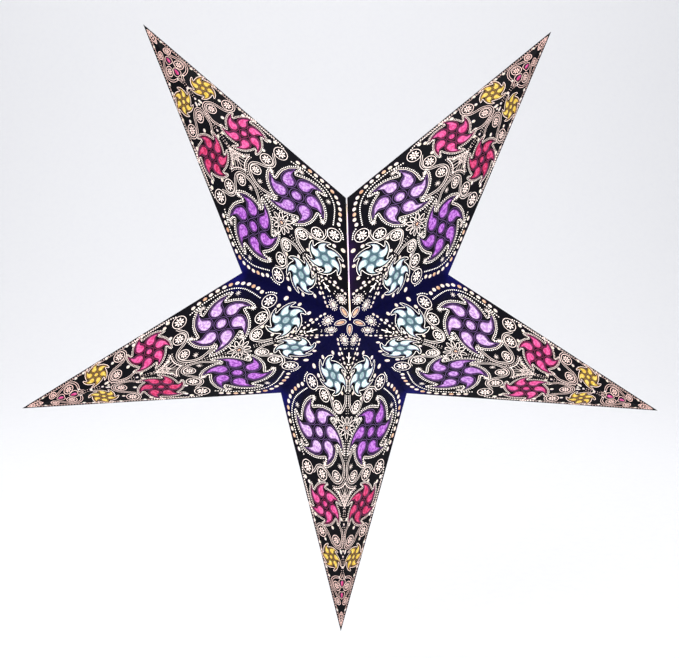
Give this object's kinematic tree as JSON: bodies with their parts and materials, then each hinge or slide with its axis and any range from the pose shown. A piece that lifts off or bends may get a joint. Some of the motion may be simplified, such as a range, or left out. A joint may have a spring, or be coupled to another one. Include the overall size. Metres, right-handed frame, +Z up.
{
  "type": "paper star lantern",
  "caption": "Hanging star lantern of folded, pierced card with coloured paper lining, held at an open seam, with a small lampholder and a ball bulb inside.",
  "frame": {"origin": "the star's centre, in the middle plane of its notches and tips, which is its centroid within a few mm", "axes": "+X to the viewer's right across the star's widest pair of arms, +Y from the front to the back, +Z up, away from the arm that hangs straight down and towards the open seam in the top notch"},
  "size_m": [0.6002, 0.19, 0.5707],
  "materials": {
    "card": "dark printed card, matt",
    "lining": "thin translucent tissue, tinted in violet, aqua, pink and yellow, and lit from behind",
    "foam": "soft white foam",
    "holder": "moulded, satin",
    "insert": "moulded, matt",
    "contact_metal": "drawn sheet",
    "bulb_glass": "opal, lit"
  },
  "bodies": {
    "root": {"arm_bottom": "card", "arm_left": "card", "arm_right": "card", "arm_upper_left": "card", "arm_upper_right": "card", "bulb": "bulb_glass", "centre_contact": "contact_metal", "holder_body": "holder", "holder_cap": "holder", "holder_insert": "insert", "lining_bottom": "lining", "lining_left": "lining", "lining_right": "lining", "lining_upper_left": "lining", "lining_upper_right": "lining", "screw_sleeve": "contact_metal", "seam_pad_back_lower": "foam", "seam_pad_back_upper": "foam", "seam_pad_front_lower": "foam", "seam_pad_front_upper": "foam"}
  },
  "joints": []
}
